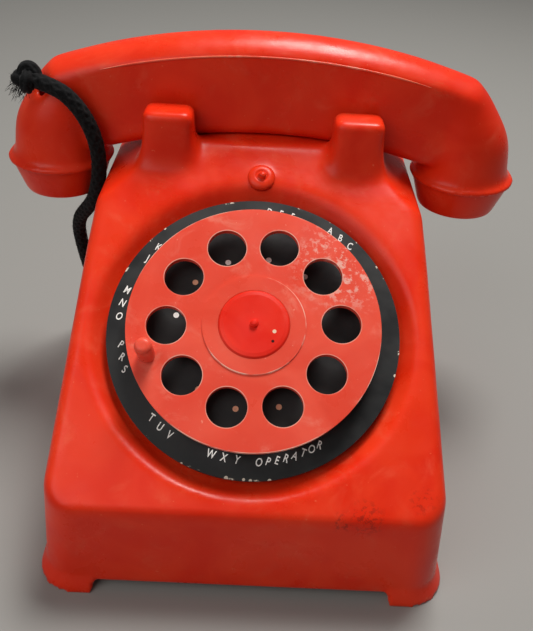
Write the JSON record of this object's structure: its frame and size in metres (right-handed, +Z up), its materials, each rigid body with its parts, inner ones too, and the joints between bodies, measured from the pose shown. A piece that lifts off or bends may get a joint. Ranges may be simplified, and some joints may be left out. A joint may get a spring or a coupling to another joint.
{
  "type": "toy rotary telephone",
  "caption": "Toy rotary telephone: hollow sloping base with cradle horns, free-spinning finger wheel over a lettered disc, lift-off handset and soft woven cord.",
  "frame": {"origin": "on the table under the middle of the outer box, measured without the cord", "axes": "+Z up, -Y towards the dial side, +X to the right of someone facing the dial"},
  "size_m": [0.1582, 0.1559, 0.1179],
  "materials": {
    "red_body": "moulded, slightly translucent, scuffed",
    "red_dial": "moulded, scuffed",
    "red_hub": "moulded",
    "black_disc": "printed letters, chipped rim",
    "pale_plastic": "moulded",
    "steel": "plain",
    "bell_metal": "pressed, plated",
    "brass": "plain",
    "cord": "knitted, fuzzy"
  },
  "bodies": {
    "base": {"base_shell": "red_body", "number_disc": "black_disc", "gong": "bell_metal", "gong_post": "steel", "gong_nut": "steel", "striker_pin": "steel", "striker_collar": "steel", "cord_lower": "cord", "cord_knot_inner": "cord"},
    "dial": {"dial_wheel": "red_dial", "dial_hub": "red_hub", "thrust_washer": "steel", "star_wheel": "pale_plastic", "push_nut": "steel"},
    "striker": {"striker_arm": "steel", "striker_ball": "brass"},
    "handset": {"handset_upper": "red_body", "handset_lower": "red_body", "ear_cap": "red_body", "mouth_cap": "red_body", "cord_knot": "cord", "cord_tail": "cord", "cord_upper": "cord"}
  },
  "joints": [
    {"name": "dial_spin", "type": "hinge", "parent": "base", "child": "dial", "pos_m": [0, -0.02275, 0.05747], "axis": [0, -0.5736, 0.8192], "continuous": true},
    {"name": "handset_lift", "type": "slide", "parent": "base", "child": "handset", "axis": [0, 0, 1], "range_m": [0, 0.06]},
    {"name": "striker_swing", "type": "hinge", "parent": "base", "child": "striker", "pos_m": [0.025, -0.00258, 0.05133], "axis": [0, 0.5736, -0.8192], "range_deg": [0, 3]}
  ]
}
